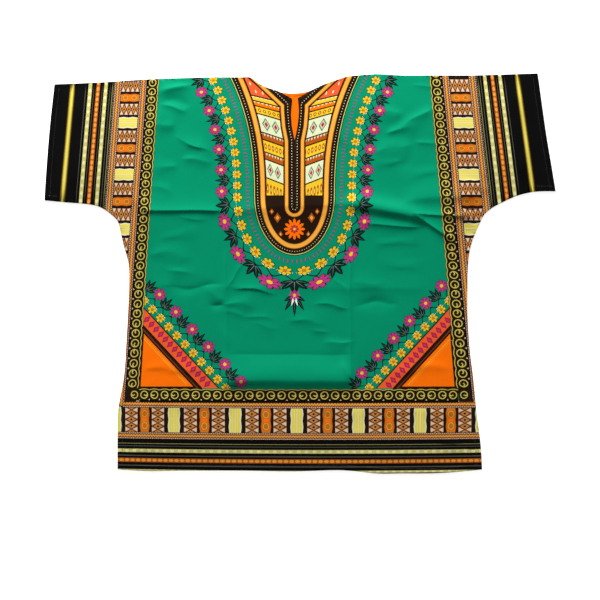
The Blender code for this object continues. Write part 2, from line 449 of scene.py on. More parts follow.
def folds_height(points):
    """How much all folds and creases together lift each point."""
    main, fine = wavered(points, MAIN_WAVER), wavered(points, FINE_WAVER)
    lift = sum(fold_height(fold, main) for fold in MAIN_FOLDS)
    return lift + sum(fold_height(fold, fine) for fold in CREASES)


def is_open_edge(point):
    """True on the hem, the cuffs, the vents and the neck, which are turned and not sewn shut."""
    x, y = point
    cuff = x < CUFF_BEYOND_LEFT or x > CUFF_BEYOND_RIGHT
    neck = abs(x - NECK_CENTRE) < NECK_HALF_WIDTH and y > NECK_ABOVE
    return cuff or neck or y < VENT_BELOW


class Rim:
    """A panel's closed outline, with the distances from it that shape the cloth."""

    def __init__(self, node):
        self.line = finer_loop(rim_of(node), RIM_SPACING)
        ends = np.roll(self.line, -1, 0)
        middles = (self.line + ends) / 2
        self.is_open = np.array([is_open_edge(p) for p in middles])
        near_neck = np.abs(middles[:, 0] - NECK_CENTRE) < NECK_HALF_WIDTH
        is_neck = self.is_open & near_neck & (middles[:, 1] > NECK_ABOVE)
        self.distance = Edges(self.line, ends).distance
        is_hem = self.is_open & ~is_neck
        self.hem_distance = Edges(self.line[is_hem], ends[is_hem]).distance
        self.neck_distance = Edges(self.line[is_neck], ends[is_neck]).distance

    def inset(self, depth):
        """The outline moved inwards, without the points that would come too near another edge."""
        way = np.roll(self.line, -1, 0) - np.roll(self.line, 1, 0)
        inward = np.stack([-way[:, 1], way[:, 0]], 1) / np.linalg.norm(way, axis=1)[:, None]
        moved = self.line + depth * inward
        return moved[(self.distance(moved) > INSET_SHARE * depth) & inside(moved, self.line)]


def ripple(points):
    """The slight unevenness of pressed cotton."""
    broad = [noise.noise(Vector((x, y, 0.0)) / RIPPLE_LENGTH) for x, y in points]
    fine = [noise.noise(Vector((x, y, 900.0)) / FINE_RIPPLE_LENGTH) for x, y in points]
    return RIPPLE * np.array(broad) + FINE_RIPPLE * np.array(fine)


# The print


class Print:
    """Areas of one ink each, a later one on top of an earlier one."""

    def __init__(self, outline):
        self.points = []
        self.areas = []
        self.inks = []
        self.add("green", outline)

    def add(self, ink, points):
        """One area, as a row of points around it in either direction."""
        points = [(float(x), float(y)) for x, y in points]
        turned = points[1:] + points[:1]
        if sum(a[0] * b[1] - b[0] * a[1] for a, b in zip(points, turned)) < 0:
            points.reverse()
        first = len(self.points)
        self.points += points
        self.areas.append(list(range(first, len(self.points))))
        self.inks.append(INK_SLOT[ink])

    def faces(self, extra_points):
        """Places, triangles and the ink of each, with the extra points among the corners."""
        places = [Vector(p) for p in self.points + [tuple(p) for p in extra_points]]
        flat = delaunay_2d_cdt(places, [], self.areas, 0, 1e-3)
        kept = [(f, max(s)) for f, s in zip(flat[2], flat[5]) if 0 in s]
        used, triangles = np.unique(np.array([f for f, _ in kept]), return_inverse=True)
        inks = np.array([self.inks[area] for _, area in kept])
        return np.array([tuple(flat[0][k]) for k in used]), triangles.reshape(-1, 3), inks


def steps_between(start, end, spacing):
    return np.linspace(start, end, max(1, round(abs(end - start) / spacing)) + 1)


def strip(cloth, ink, at, start, end, low, high, spacing=60.0):
    """A plain stripe. at(s, t) gives the place s along the band and t across it."""
    along = steps_between(start, end, spacing)
    cloth.add(ink, [at(s, low) for s in along] + [at(s, high) for s in along[::-1]])


def oval(cloth, ink, at, s, t, half_length, half_width, corners=12):
    turns = [2 * math.pi * k / corners for k in range(corners)]
    cloth.add(ink, [at(s + half_length * math.cos(a), t + half_width * math.sin(a)) for a in turns])


def lozenge(cloth, ink, at, s, t, half_length, half_width):
    tips = ((half_length, 0), (0, half_width), (-half_length, 0), (0, -half_width))
    cloth.add(ink, [at(s + ds, t + dt) for ds, dt in tips])


def dots(cloth, ink, at, start, end, t, pitch, radius):
    for k in range(int((end - start) / pitch)):
        lozenge(cloth, ink, at, start + (k + 0.5) * pitch, t, radius, radius)


def dashes(cloth, ink, at, start, end, low, high, pitch, share=0.5):
    """Soft-ended dashes along a stripe."""
    middle, half = (low + high) / 2, (high - low) / 2
    for k in range(int((end - start) / pitch)):
        s = start + (k + 0.5) * pitch
        oval(cloth, ink, at, s, middle, share * pitch, 0.86 * half, corners=8)


def sawtooth(cloth, ink, at, start, end, base, tip, pitch):
    for k in range(int((end - start) / pitch)):
        s = start + k * pitch
        cloth.add(ink, [at(s, base), at(s + 0.72 * pitch, base), at(s + 0.36 * pitch, tip)])


TEETH_PITCH = 3.9
ZIGZAG_STEP = 2.8
ZIGZAG_LINES = (("brown", 0.28), ("bronze", 0.16), ("honey", 0.09))


def zigzag(cloth, at, start, end, low, high):
    """A mauve band with pale teeth on both edges and a bright zigzag along its middle."""
    width = high - low
    strip(cloth, "umber", at, start, end, low, high)
    strip(cloth, "mauve", at, start, end, low + 0.12 * width, high - 0.12 * width)
    sawtooth(cloth, "blush", at, start, end, low + 0.08 * width, low + 0.24 * width, TEETH_PITCH)
    sawtooth(cloth, "blush", at, start, end, high - 0.08 * width, high - 0.24 * width, TEETH_PITCH)
    for ink, thick in ZIGZAG_LINES:
        wave(cloth, ink, at, start, end, (low + high) / 2, thick * width, 0.08 * width)


def wave(cloth, ink, at, start, end, middle, thick, swing):
    """A sharp zigzag line."""
    along = np.arange(start, end, ZIGZAG_STEP)
    upper = [at(s, middle + thick + swing * (-1) ** k) for k, s in enumerate(along)]
    lower = [at(s, middle - thick + swing * (-1) ** k) for k, s in enumerate(along)]
    cloth.add(ink, upper + lower[::-1])


RING_TICK = ((-1.7, 0.8), (1.7, 0.8), (0.0, -2.0))
RING_CURL = ((0.84, -0.16), (0.82, 0.22), (0.30, 0.34), (-0.16, 0.10), (0.02, -0.18), (0.24, 0.08))


def curled_ring(cloth, at, s, t, radius, flip):
    """A thin pale ring whose line curls in to its middle."""
    oval(cloth, "straw", at, s, t, radius, radius, corners=16)
    oval(cloth, "umber", at, s, t, 0.76 * radius, 0.76 * radius, corners=12)
    cloth.add("straw", [at(s + flip * a * radius, t + b * radius) for a, b in RING_CURL])


def ring_band(cloth, at, start, end, pitch, radius):
    """The black band of curled rings, scalloped with a pale line on its inner edge."""
    count = round((end - start) / pitch)
    pitch = (end - start) / count
    along = steps_between(start, end, pitch / 6)
    edge = [3.2 - 1.9 * abs(math.sin(math.pi * (s - start) / pitch)) for s in along]
    outer = [at(s, RING_BAND.high) for s in (end, start)]
    for ink, beyond in (("umber", 2.8), ("straw", 1.9), ("umber", 0.5)):
        cloth.add(ink, [at(s, e - beyond) for s, e in zip(along, edge)] + outer)
    for k in range(count):
        curled_ring(cloth, at, start + (k + 0.5) * pitch, RING_LINE, radius, (-1) ** k)
        cloth.add("blush", [at(start + k * pitch + a, RING_BAND.high + b) for a, b in RING_TICK])


LOZENGE_LINES = (
    ("brown", 0.84, 0.50),
    ("ochre", 0.68, 0.41),
    ("brown", 0.50, 0.31),
    ("amber", 0.42, 0.26),
    ("umber", 0.30, 0.20),
)


def triangle_block(cloth, at, start, end, low, high, count):
    """A column of lozenges between two rows of cream triangles, across the band."""
    pitch, half = (high - low) / count, (end - start) / 2
    middle = (start + end) / 2
    cloth.add("brown", [at(start, low), at(end, low), at(end, high), at(start, high)])
    for k in range(count):
        t = low + (k + 0.5) * pitch
        for ink, size, tip in (("mauve", 0.43, 1.6), ("blush", 0.34, 3.0)):
            for side in (-1, 1):
                base = middle + side * 0.97 * half
                tips = (base, t - size * pitch), (base, t + size * pitch), (middle + side * tip, t)
                cloth.add(ink, [at(*place) for place in tips])
    for k in range(count + 1):
        t = low + k * pitch
        for ink, long, wide in LOZENGE_LINES:
            foot, top = max(low, t - wide * pitch), min(high, t + wide * pitch)
            left, right = middle - long * half, middle + long * half
            tips = ((right, t), (middle, top), (left, t), (middle, foot))
            cloth.add(ink, [at(*place) for place in tips])


def oval_block(cloth, at, start, end, low, high):
    """An orange block with two dark ovals."""
    middle, half, width = (start + end) / 2, (end - start) / 2, high - low
    waist = [(s, t) for s, t in ((-0.8, 0), (-1, 0.25), (-0.86, 0.5), (-1, 0.75), (-0.8, 1))]
    for ink, size in (("rust", 1.0), ("tangerine", 0.88)):
        left = [at(middle + size * s * half, low + t * width) for s, t in waist]
        right = [at(middle - size * s * half, low + t * width) for s, t in waist[::-1]]
        cloth.add(ink, left + right)
    oval(cloth, "orange", at, middle, low + 0.5 * width, 0.5 * half, 0.1 * width, corners=8)
    for share in (0.27, 0.73):
        t = low + share * width
        oval(cloth, "rust", at, middle, t, 0.66 * half, 0.165 * width)
        oval(cloth, "amber", at, middle, t, 0.58 * half, 0.145 * width)
        oval(cloth, "bronze", at, middle, t, 0.46 * half, 0.115 * width)


def pale_block(cloth, at, start, end, low, high):
    """A pale yellow block with wavy cream sides and a lighter streak."""
    middle, half, width = (start + end) / 2, (end - start) / 2, high - low
    shares = np.linspace(0, 1, 9)
    for ink, size in (("cream", 0.95), ("lemon", 0.76)):
        wave = [size - 0.06 * math.cos(4 * math.pi * share) for share in shares]
        left = [at(middle - w * half, low + q * width) for w, q in zip(wave, shares)]
        right = [at(middle + w * half, low + q * width) for w, q in zip(wave, shares)]
        cloth.add(ink, left + right[::-1])
    for shift, thick in ((-0.38, 0.03), (0.0, 0.07), (0.38, 0.03)):
        low_s, high_s = middle + (shift - thick) * half, middle + (shift + thick) * half
        cloth.add("chalk", [at(low_s, low), at(high_s, low), at(high_s, high), at(low_s, high)])


Block = namedtuple("Block", "kind size gap")


def block_row(cloth, at, start, end, low, high, blocks):
    """The blocks in their order, again and again, with dark gaps between them."""
    strip(cloth, "umber", at, start - 40, end + 40, low, high)
    s = start
    while s < end:
        for block in blocks:
            if block.kind == "triangles":
                triangle_block(cloth, at, s, s + block.size, low, high, 4)
            elif block.kind == "ovals":
                oval_block(cloth, at, s, s + block.size, low, high)
            else:
                pale_block(cloth, at, s, s + block.size, low, high)
            s += block.size + block.gap


Band = namedtuple("Band", "low high")
RING_BAND = Band(3.0, 20.6)
RING_LINE = 11.4


def frame_line(side, y):
    """The x of the inner edge of the print's frame at a height y."""
    return side.frame_x + side.frame_slope * (y - SHOULDER)


def column_at(side):
    """The place on a side band: s runs down from the shoulder, t out towards the cuff."""

    def at(s, t):
        y = SHOULDER - s + GATHER * max(0.0, (s - GATHER_FROM) * (GATHER_TO - s))
        inner = frame_line(side, y)
        cuff = side.cuff_x + side.cuff_slope * (y - SHOULDER)
        t -= side.squeeze * max(0.0, t - SQUEEZE_FROM)
        return inner + (cuff - inner) * t / BAND_SPAN, y

    return at


HEM_SQUEEZE = 0.05
HEM_SQUEEZE_FROM = -229.0
HEM_SAG = 4.2
HEM_SAG_X = 44.0
HEM_SAG_HALF = 400.0
HEM_SAG_TOP = 0.4
HEM_DEPTH = 160.0


def row_at(s, t):
    """The place on a hem band: s runs along X, t down towards the hem."""
    s += HEM_SQUEEZE * max(0.0, HEM_SQUEEZE_FROM - s)
    sag = HEM_SAG * (1 - ((s - HEM_SAG_X) / HEM_SAG_HALF) ** 2)
    return s, CORNER_Y - t - sag * (HEM_SAG_TOP + (1 - HEM_SAG_TOP) * t / HEM_DEPTH)


COLUMN_TOP = -34.0
SLEEVE_END = 330.0
FRAME_END = SHOULDER - CORNER_Y

# The sleeve's stripes, out from the frame: how far each reaches, and its ink
Stripe = namedtuple("Stripe", "low high ink")
SLEEVE_STRIPES = (
    Stripe(87.6, 88.9, "olive"),
    Stripe(92.4, 93.5, "charcoal"),
    Stripe(97.8, 104.8, "pale"),
    Stripe(107.6, 108.5, "charcoal"),
    Stripe(111.8, 112.8, "umber"),
    Stripe(112.8, 120.4, "rust"),
    Stripe(120.4, 121.4, "umber"),
    Stripe(124.2, 125.2, "charcoal"),
    Stripe(128.6, 135.8, "pale"),
    Stripe(140.4, 141.6, "charcoal"),
    Stripe(160.8, 174.0, "umber"),
    Stripe(162.2, 172.6, "moss"),
    Stripe(163.4, 171.4, "mustard"),
    Stripe(164.6, 170.2, "straw"),
    Stripe(165.8, 169.0, "lemon"),
)
HEM_STRIPES = (
    Stripe(104.9, 106.0, "olive"),
    Stripe(109.8, 110.9, "charcoal"),
    Stripe(115.8, 122.6, "pale"),
    Stripe(127.8, 130.0, "charcoal"),
    Stripe(132.7, 133.7, "umber"),
    Stripe(133.7, 141.6, "rust"),
    Stripe(141.6, 142.6, "umber"),
    Stripe(147.2, 149.0, "charcoal"),
    Stripe(155.4, 159.4, "pale"),
)
PALE_PITCH = 15.4
ORANGE_PITCH = 11.2


def stripes(cloth, at, start, end, rows):
    for row in rows:
        strip(cloth, row.ink, at, start, end, row.low, row.high)
        if row.ink == "pale":
            dashes(cloth, "chalk", at, start, end, row.low, row.high, PALE_PITCH, 0.27)
        if row.ink == "rust":
            dashes(cloth, "tangerine", at, start, end, row.low, row.high, ORANGE_PITCH, 0.48)
            dashes(cloth, "honey", at, start, end, row.low + 1.0, row.high - 1.0, ORANGE_PITCH, 0.38)


def side_bands(cloth, side):
    """A sleeve's stripes, blocks and zigzags, which run on down the side of the body."""
    at = column_at(side)
    strip(cloth, "black", at, COLUMN_TOP, FRAME_END + 24, 10.0, BAND_SPAN + 60)
    stripes(cloth, at, COLUMN_TOP, SLEEVE_END, SLEEVE_STRIPES)
    dots(cloth, "blush", at, COLUMN_TOP, SLEEVE_END, 85.2, 3.4, 0.7)
    block_row(cloth, at, -2.0, FRAME_END, 35.6, 71.6, SLEEVE_BLOCKS)
    zigzag(cloth, at, COLUMN_TOP, SLEEVE_END, 71.2, 84.4)
    zigzag(cloth, at, COLUMN_TOP, FRAME_END + 34, 22.0, 35.4)


SLEEVE_BLOCKS = (
    Block("triangles", 24.0, 4.2),
    Block("ovals", 18.2, 4.2),
    Block("triangles", 24.0, 4.6),
    Block("pale", 24.6, 4.6),
)
HEM_BLOCKS = (
    Block("triangles", 25.4, 4.2),
    Block("ovals", 20.4, 4.2),
    Block("triangles", 25.4, 7.4),
    Block("pale", 25.1, 7.4),
)
HEM_BLOCK_START = -464.2


def hem_bands(cloth):
    """The blocks and stripes along the hem."""
    start, end = -380.0, 380.0
    strip(cloth, "black", row_at, start, end, 33.0, 190.0)
    block_row(cloth, row_at, HEM_BLOCK_START, end, 34.8, 84.2, HEM_BLOCKS)
    zigzag(cloth, row_at, start, end, 83.4, 97.0)
    stripes(cloth, row_at, start, end, HEM_STRIPES)
    left, right = (column_at(side)(FRAME_END, 24.0)[0] for side in SIDES)
    zigzag(cloth, row_at, left - 10.0, right + 10.0, 21.4, 36.4)


def ring_frame(cloth):
    """The black band of curled rings, down both sides and along the bottom."""
    for side in SIDES:
        at = column_at(side)
        strip(cloth, "black", at, COLUMN_TOP, FRAME_END + RING_BAND.high, 8.0, 23.6)
        ring_band(cloth, at, -22.0, FRAME_END - 1.0, 17.5, 7.4)
    left, right = (column_at(side)(FRAME_END, 2.6)[0] for side in SIDES)
    strip(cloth, "black", row_at, left, right, 8.0, 26.0)
    ring_band(cloth, row_at, left, right, 20.6, 8.0)
    for side in SIDES:
        x, _ = column_at(side)(FRAME_END, RING_LINE)
        strip(cloth, "umber", column_at(side), FRAME_END - 1.0, FRAME_END + 26.0, 2.0, 23.8)
        strip(cloth, "umber", row_at, x - side.sign * 10.0, x, 2.6, 22.0)
        curled_ring(cloth, row_at, x, RING_LINE, 7.6, side.sign)


# The middle and the corners: a rounded yoke, a running vine and three-sided corners


def flat(s, t):
    """The plain place x, y."""
    return s, t


def turned(at, s, t, angle):
    """Places about (s, t), with the first direction turned by an angle."""
    across, up = math.cos(angle), math.sin(angle)

    def place(a, b):
        return at(s + a * across - b * up, t + a * up + b * across)

    return place


def resampled(line, spacing):
    """Points evenly spaced along an open line."""
    line = np.array(line, float)
    length = np.concatenate([[0], np.cumsum(np.linalg.norm(np.diff(line, axis=0), axis=1))])
    want = steps_between(0.0, length[-1], spacing)
    return np.stack([np.interp(want, length, line[:, k]) for k in (0, 1)], 1)


class Path:
    """A line to place motifs along: at(s, t) is s along it and t to its left."""

    def __init__(self, line, spacing=4.0):
        self.line = resampled(line, spacing)
        self.length = float(np.linalg.norm(np.diff(self.line, axis=0), axis=1).sum())
        self.step = self.length / (len(self.line) - 1)
        way = np.gradient(self.line, axis=0)
        self.left = np.stack([-way[:, 1], way[:, 0]], 1) / np.linalg.norm(way, axis=1)[:, None]

    def at(self, s, t):
        known = min(max(s, 0.0), self.length)
        k = min(int(known / self.step), len(self.line) - 2)
        share = known / self.step - k
        x, y = self.line[k] * (1 - share) + self.line[k + 1] * share
        across, up = self.left[k] * (1 - share) + self.left[k + 1] * share
        past = s - known
        return x + t * across + past * up, y + t * up - past * across

    def strip(self, cloth, ink, low, high):
        strip(cloth, ink, self.at, 0.0, self.length, low, high, spacing=6.0)


def mirrored(half):
    """The line from the right side to the left, given the right half from its top down."""
    right = [(NECK_CENTRE + x, y) for x, y in half]
    left = [(NECK_CENTRE - x, y) for x, y in half]
    return right + left[::-1][1:]


PETAL_EDGE = 1.1


def rosette(cloth, at, s, t, radius, petals, ink, heart, turn=0.0, edge=None):
    """A round flower with separate petals, with or without a darker edge round each."""
    half_width = 0.57 * radius * math.sin(math.pi / petals)
    for layer, more in ((edge, PETAL_EDGE), (ink, 0.0)):
        for k in range(petals if layer else 0):
            petal = turned(at, s, t, turn + 2 * math.pi * k / petals)
            size = 0.38 * radius + more, half_width + more
            oval(cloth, layer, petal, 0.62 * radius, 0.0, *size, corners=7)
    oval(cloth, heart, at, s, t, 0.28 * radius, 0.28 * radius, corners=8)


LEAF_SHAPE = ((0.0, 0.0), (0.22, 0.34), (0.5, 0.5), (0.78, 0.3), (1.0, 0.0))


def leaf(cloth, at, s, t, angle, length, width, ink, vein=None):
    """A pointed leaf from (s, t), with or without a paler vein."""
    place = turned(at, s, t, math.radians(angle))
    near = [place(a * length, b * width) for a, b in LEAF_SHAPE]
    far = [place(a * length, -b * width) for a, b in LEAF_SHAPE[-2:0:-1]]
    cloth.add(ink, near + far)
    if vein:
        tip = place(0.84 * length, 0.0)
        foot = [place(0.12 * length, half * width) for half in (-0.07, 0.07)]
        cloth.add(vein, [foot[0], tip, foot[1]])


VINE_SWING = 4.5
VINE_THICK = 1.2
FAN = ((-56.0, 17.0), (56.0, 17.0), (-28.0, 23.0), (28.0, 23.0), (0.0, 27.0))


def vine(cloth, path, middle, waves):
    """A running vine along a path, with flowers in its outer bends and buds in its inner ones."""
    wave = path.length / waves
    along = steps_between(0.0, path.length, 3.0)
    swing = [middle + VINE_SWING * math.cos(2 * math.pi * s / wave) for s in along]
    upper = [path.at(s, t + VINE_THICK) for s, t in zip(along, swing)]
    lower = [path.at(s, t - VINE_THICK) for s, t in zip(along, swing)]
    cloth.add("leaf", upper + lower[::-1])
    for k in range(waves + 1):
        if k % 2:
            magenta_flower(cloth, path.at, k * wave, middle + VINE_SWING)
        else:
            leaf_fan(cloth, path.at, k * wave, middle + VINE_SWING)
    for k in range(waves):
        bud(cloth, path.at, (k + 0.5) * wave, middle - VINE_SWING)


def magenta_flower(cloth, at, s, t):
    leaf(cloth, at, s, t - 1.0, 90.0, 9.0, 2.4, "leaf")
    rosette(cloth, at, s, t + 13.5, 12.4, 8, "magenta", "gold", turn=0.2, edge="leaf")


def leaf_fan(cloth, at, s, t):
    for turn, length in FAN:
        leaf(cloth, at, s, t, 90.0 + turn, length, 7.4, "leaf", "vein")


def bud(cloth, at, s, t):
    """A yellow flower with two white leaves."""
    for angle in (-30.0, 210.0):
        leaf(cloth, at, s, t, angle, 11.5, 4.4, "white")
    rosette(cloth, at, s, t - 8.0, 9.0, 6, "gold", "tangerine", turn=0.5, edge="leaf")


# The yoke is YOKE_HALF to either side of the middle, flares out above YOKE_END_Y and has an
# elliptical end below it
YOKE_TOP = 400.0
YOKE_HALF = 76.0
YOKE_FLARE = 56.0
YOKE_CURVE = 2.4
YOKE_END_Y = 150.0
YOKE_END_DEPTH = 112.0
YOKE_STRIPES = (
    Stripe(-1.0, 3.8, "leaf"),
    Stripe(0.6, 2.2, "pale"),
    Stripe(-22.2, 0.4, "umber"),
    Stripe(-19.2, -9.8, "bronze"),
    Stripe(-18.0, -11.0, "amber"),
)
YOKE_FIELD = -21.4
DOT_PITCH = 5.4


def yoke_half(y):
    """Half the yoke's width at a height above its end."""
    share = min(max((y - YOKE_END_Y) / (YOKE_TOP - YOKE_END_Y), 0.0), 1.1)
    return YOKE_HALF + YOKE_FLARE * share**YOKE_CURVE


def yoke_line():
    """The yoke's outer edge, from the right shoulder round its end to the left shoulder."""
    side = [(yoke_half(y), y) for y in steps_between(YOKE_TOP, YOKE_END_Y, 10.0)]
    turns = np.radians(np.linspace(0, 90, 14))[1:]
    end = zip(YOKE_HALF * np.cos(turns), YOKE_END_Y - YOKE_END_DEPTH * np.sin(turns))
    return mirrored(side + list(end))


def yoke(cloth):
    """The rounded yoke with its striped edges and the chevrons between them."""
    edge = Path(yoke_line())
    field = [edge.at(s, YOKE_FIELD) for s in steps_between(0.0, edge.length, 6.0)]
    cloth.add("cream", field)
    chevrons(cloth)
    lower_end(cloth, [p for p in field if p[1] < LOWER_END])
    for row in YOKE_STRIPES:
        edge.strip(cloth, row.ink, row.low, row.high)
    dots(cloth, "chalk", edge.at, 0.0, edge.length, -4.6, DOT_PITCH, 1.05)
    neck_trim(cloth)


Chevron = namedtuple("Chevron", "height ink motif")
CHEVRONS = (
    Chevron(74.0, "vermilion", "ticks"),
    Chevron(10.0, "gold", "teeth"),
    Chevron(10.0, "orange", "teeth"),
    Chevron(15.0, "gold", "beads"),
    Chevron(36.0, "cream", "lozenges"),
    Chevron(14.0, "rust", "teeth"),
    Chevron(24.0, "gold", "beads"),
    Chevron(14.0, "rust", "teeth"),
    Chevron(36.0, "cream", "lozenges"),
    Chevron(40.0, "gold", "beads"),
)
CHEVRON_TOP = 404.0
CHEVRON_RISE = 20.0
CHEVRON_NEAR = 14.0
CHEVRON_CLEAR = 12.0
CHEVRON_LINE = 2.6
LOWER_END = 152.0


def chevrons(cloth):
    """V-shaped rows down the yoke, on both sides of the slit."""
    top = CHEVRON_TOP
    for row in CHEVRONS:
        for side in (-1, 1):

            def at(s, t, side=side, top=top):
                y = top - t + CHEVRON_RISE * s
                width = yoke_half(y) - CHEVRON_CLEAR - CHEVRON_NEAR
                return NECK_CENTRE + side * (CHEVRON_NEAR + s * width), y

            strip(cloth, "umber", at, 0.0, 1.0, 0.0, row.height, spacing=0.25)
            strip(cloth, row.ink, at, 0.0, 1.0, CHEVRON_LINE, row.height, spacing=0.25)
            chevron_motifs(cloth, at, row)
        top -= row.height


def chevron_motifs(cloth, at, row):
    middle = (CHEVRON_LINE + row.height) / 2
    if row.motif == "teeth":
        sawtooth(cloth, "cream", at, 0.0, 1.0, CHEVRON_LINE, 0.55 * row.height, 0.1)
    if row.motif == "beads":
        for share in np.linspace(0.12, 0.88, 7):
            oval(cloth, "rust", at, share, middle, 0.045, 0.26 * row.height, corners=8)
            oval(cloth, "lemon", at, share, middle, 0.02, 0.12 * row.height, corners=6)
    if row.motif == "ticks":
        for k, t in enumerate(np.linspace(9.0, row.height - 8.0, 5)):
            for share in np.linspace(0.12, 0.88, 6) + 0.07 * (k % 2):
                lozenge(cloth, "cream", at, share, t, 0.018, 4.2)
    if row.motif == "lozenges":
        for share in (0.36, 0.64):
            lozenge(cloth, "green", at, share, middle, 0.12, 0.36 * row.height)
            lozenge(cloth, "blush", at, share, middle, 0.085, 0.26 * row.height)
            lozenge(cloth, "crimson", at, share, middle, 0.05, 0.15 * row.height)


def lower_end(cloth, rim):
    """The dark end of the yoke, with a round flower of orange petals."""
    cloth.add("umber", rim)
    rosette(cloth, flat, NECK_CENTRE, 86.0, 21.0, 12, "orange", "amber")
    rosette(cloth, flat, NECK_CENTRE, 86.0, 9.0, 8, "crimson", "gold")
    for side in (-1, 1):
        for x, y, size in ((33.0, 108.0, 7.0), (27.0, 76.0, 4.4), (44.0, 120.0, 4.4)):
            lozenge(cloth, "rust", flat, NECK_CENTRE + side * x, y, size, 1.4 * size)
            lozenge(cloth, "amber", flat, NECK_CENTRE + side * x, y, 0.5 * size, 0.7 * size)


# The neck's edge and the slit, as the distance from the middle at each height. The trimming
# goes on down the middle below the slit.
NECK_SIDE = (
    (104.0, 422.0),
    (57.7, 378.4),
    (8.4, 332.0),
    (8.2, 316.0),
    (6.0, 287.0),
    (0.4, 258.0),
    (0.0, 128.0),
)
SLIT_END = 258.0
TRIM_END = 128.0
TRIMMINGS = (
    ("umber", 21.4),
    ("bronze", 18.8),
    ("amber", 17.5),
    ("bronze", 12.6),
    ("umber", 11.6),
)


def neck_trim(cloth):
    """Striped trimming along the neck's edge and both sides of the slit."""
    for ink, width in TRIMMINGS:
        cloth.add(ink, neck_contour(width))
    trail = Path(neck_contour(5.0), spacing=2.0)
    dots(cloth, "chalk", trail.at, 0.0, trail.length, 0.0, DOT_PITCH, 1.1)
    strip(cloth, "umber", flat, NECK_CENTRE - 0.5, NECK_CENTRE + 0.5, TRIM_END, SLIT_END)


def neck_contour(width):
    """The neck's line moved into the cloth by width, rounded below the slit."""
    side = mitred(np.array(NECK_SIDE), width)
    turns = np.radians(np.linspace(0, 90, 6))[1:]
    cap = zip(width * np.cos(turns), TRIM_END - width * np.sin(turns))
    return mirrored([tuple(p) for p in side] + list(cap))


def mitred(line, width):
    """The open line moved to its left by width, with its corners kept."""
    way = np.diff(line, axis=0)
    way /= np.linalg.norm(way, axis=1)[:, None]
    left = np.stack([-way[:, 1], way[:, 0]], 1)
    corner = np.vstack([left[:1], left]) + np.vstack([left, left[-1:]])
    return line + 2 * width * corner / (corner**2).sum(1)[:, None]


GARLAND = 47.0
GARLAND_WAVES = 36
GARLAND_BEADS = 15.0
BEAD_PITCH = 6.8
PENDANT_Y = -42.0
PENDANT_FAN = ((-150.0, 24.0), (-30.0, 24.0), (-122.0, 36.0), (-58.0, 36.0), (-90.0, 42.0))


def garland(cloth):
    """The running vine round the yoke, with a row of small lozenges inside it."""
    base = Path(yoke_line())
    for k in range(int(base.length / BEAD_PITCH)):
        for ink, half_length, half_width in (("leaf", 2.3, 5.4), ("plum", 1.6, 4.8)):
            s = (k + 0.5) * BEAD_PITCH
            lozenge(cloth, ink, base.at, s, GARLAND_BEADS, half_length, half_width)
    vine(cloth, base, GARLAND, GARLAND_WAVES)
    for angle, length in PENDANT_FAN:
        leaf(cloth, flat, NECK_CENTRE, PENDANT_Y, angle, length, 8.0, "leaf", "vein")
    for angle in (-74.0, -106.0):
        leaf(cloth, flat, NECK_CENTRE, PENDANT_Y, angle, 22.0, 4.0, "white")
    rosette(cloth, flat, NECK_CENTRE, PENDANT_Y, 11.0, 8, "magenta", "gold")


CORNER_WAVES = 11
CORNER_VINE = 186.0


def corner(cloth, side):
    """A three-sided corner: orange, then stripes and a row of lozenges, then the vine."""
    foot = CORNER_Y + 1.0

    def at(a, b):
        return frame_line(side, foot + b) - side.sign * a, foot + b

    def stripe(ink, low, high):
        cloth.add(ink, [at(low, 0), at(high, 0), at(0, high), at(0, low)])

    stripe("leaf", 116.0, 157.0)
    stripe("vermilion", 122.0, 154.0)
    cloth.add("umber", [at(-3, -4), at(124, -4), at(124, 0), at(0, 124), at(-3, 124)])
    stripe("brown", 113.0, 117.0)
    cloth.add("orange", [at(4, 3), at(106, 3), at(4, 105)])
    beads = Path([at(2, 137.0), at(137.0, 2)])
    count = 14
    for k in range(count):
        s = (k + 0.5) * beads.length / count
        lozenge(cloth, "crimson", beads.at, s, 1.4, 5.4, 9.2)
        lozenge(cloth, "magenta", beads.at, s, 1.4, 2.0, 4.4)
    trail = Path([at(4, 96), at(96, 4)])
    dots(cloth, "gold", trail.at, 0.0, trail.length, 0.0, 3.6, 1.3)
    dots(cloth, "amber", trail.at, 0.0, trail.length, 3.4, 3.6, 0.9)
    ends = [at(CORNER_VINE, 0), at(0, CORNER_VINE)]
    vine(cloth, Path(ends if side.sign > 0 else ends[::-1]), 0.0, CORNER_WAVES)


def whole_print(outline):
    """The whole print of one panel."""
    cloth = Print(outline)
    for side in SIDES:
        corner(cloth, side)
    garland(cloth)
    for side in SIDES:
        side_bands(cloth, side)
    hem_bands(cloth)
    ring_frame(cloth)
    yoke(cloth)
    return cloth


# The cloth meshes


def grid_inside(rim, spacing):
    """A grid of points inside the rim, every other row shifted by half a step."""
    low, high = rim.line.min(0), rim.line.max(0)
    points = []
    for k, y in enumerate(np.arange(low[1], high[1], spacing * ROW_SHARE)):
        shift = spacing / 2 * (k % 2)
        points += [(x + shift, y) for x in np.arange(low[0], high[0], spacing)]
    return kept_inside(np.array(points), rim, spacing / 2)


def fold_rows(fold, waver, spacing, aside):
    """Rows of points along a fold, at the given places across it."""
    line, left = crest(fold, spacing)
    rows = np.vstack([line + across * left for across in aside])
    return 2 * rows - wavered(rows, waver)


def crease_points(rim):
    """Points along each fold's crest and flanks."""
    points = []
    for fold in MAIN_FOLDS:
        before, after = min(fold.before, CREASE_FLANK), min(fold.after, CREASE_FLANK)
        aside = (-after, -after / 2, -CREST_HALF, 0.0, CREST_HALF, before / 2, before)
        points.append(fold_rows(fold, MAIN_WAVER, CREASE_SPACING, aside))
    for fold in CREASES:
        aside = (-fold.after / 2, -CREST_HALF, 0.0, CREST_HALF, fold.before / 2)
        points.append(fold_rows(fold, FINE_WAVER, CREASE_SPACING, aside))
    return kept_inside(np.vstack(points), rim, CREASE_SPACING / 2)


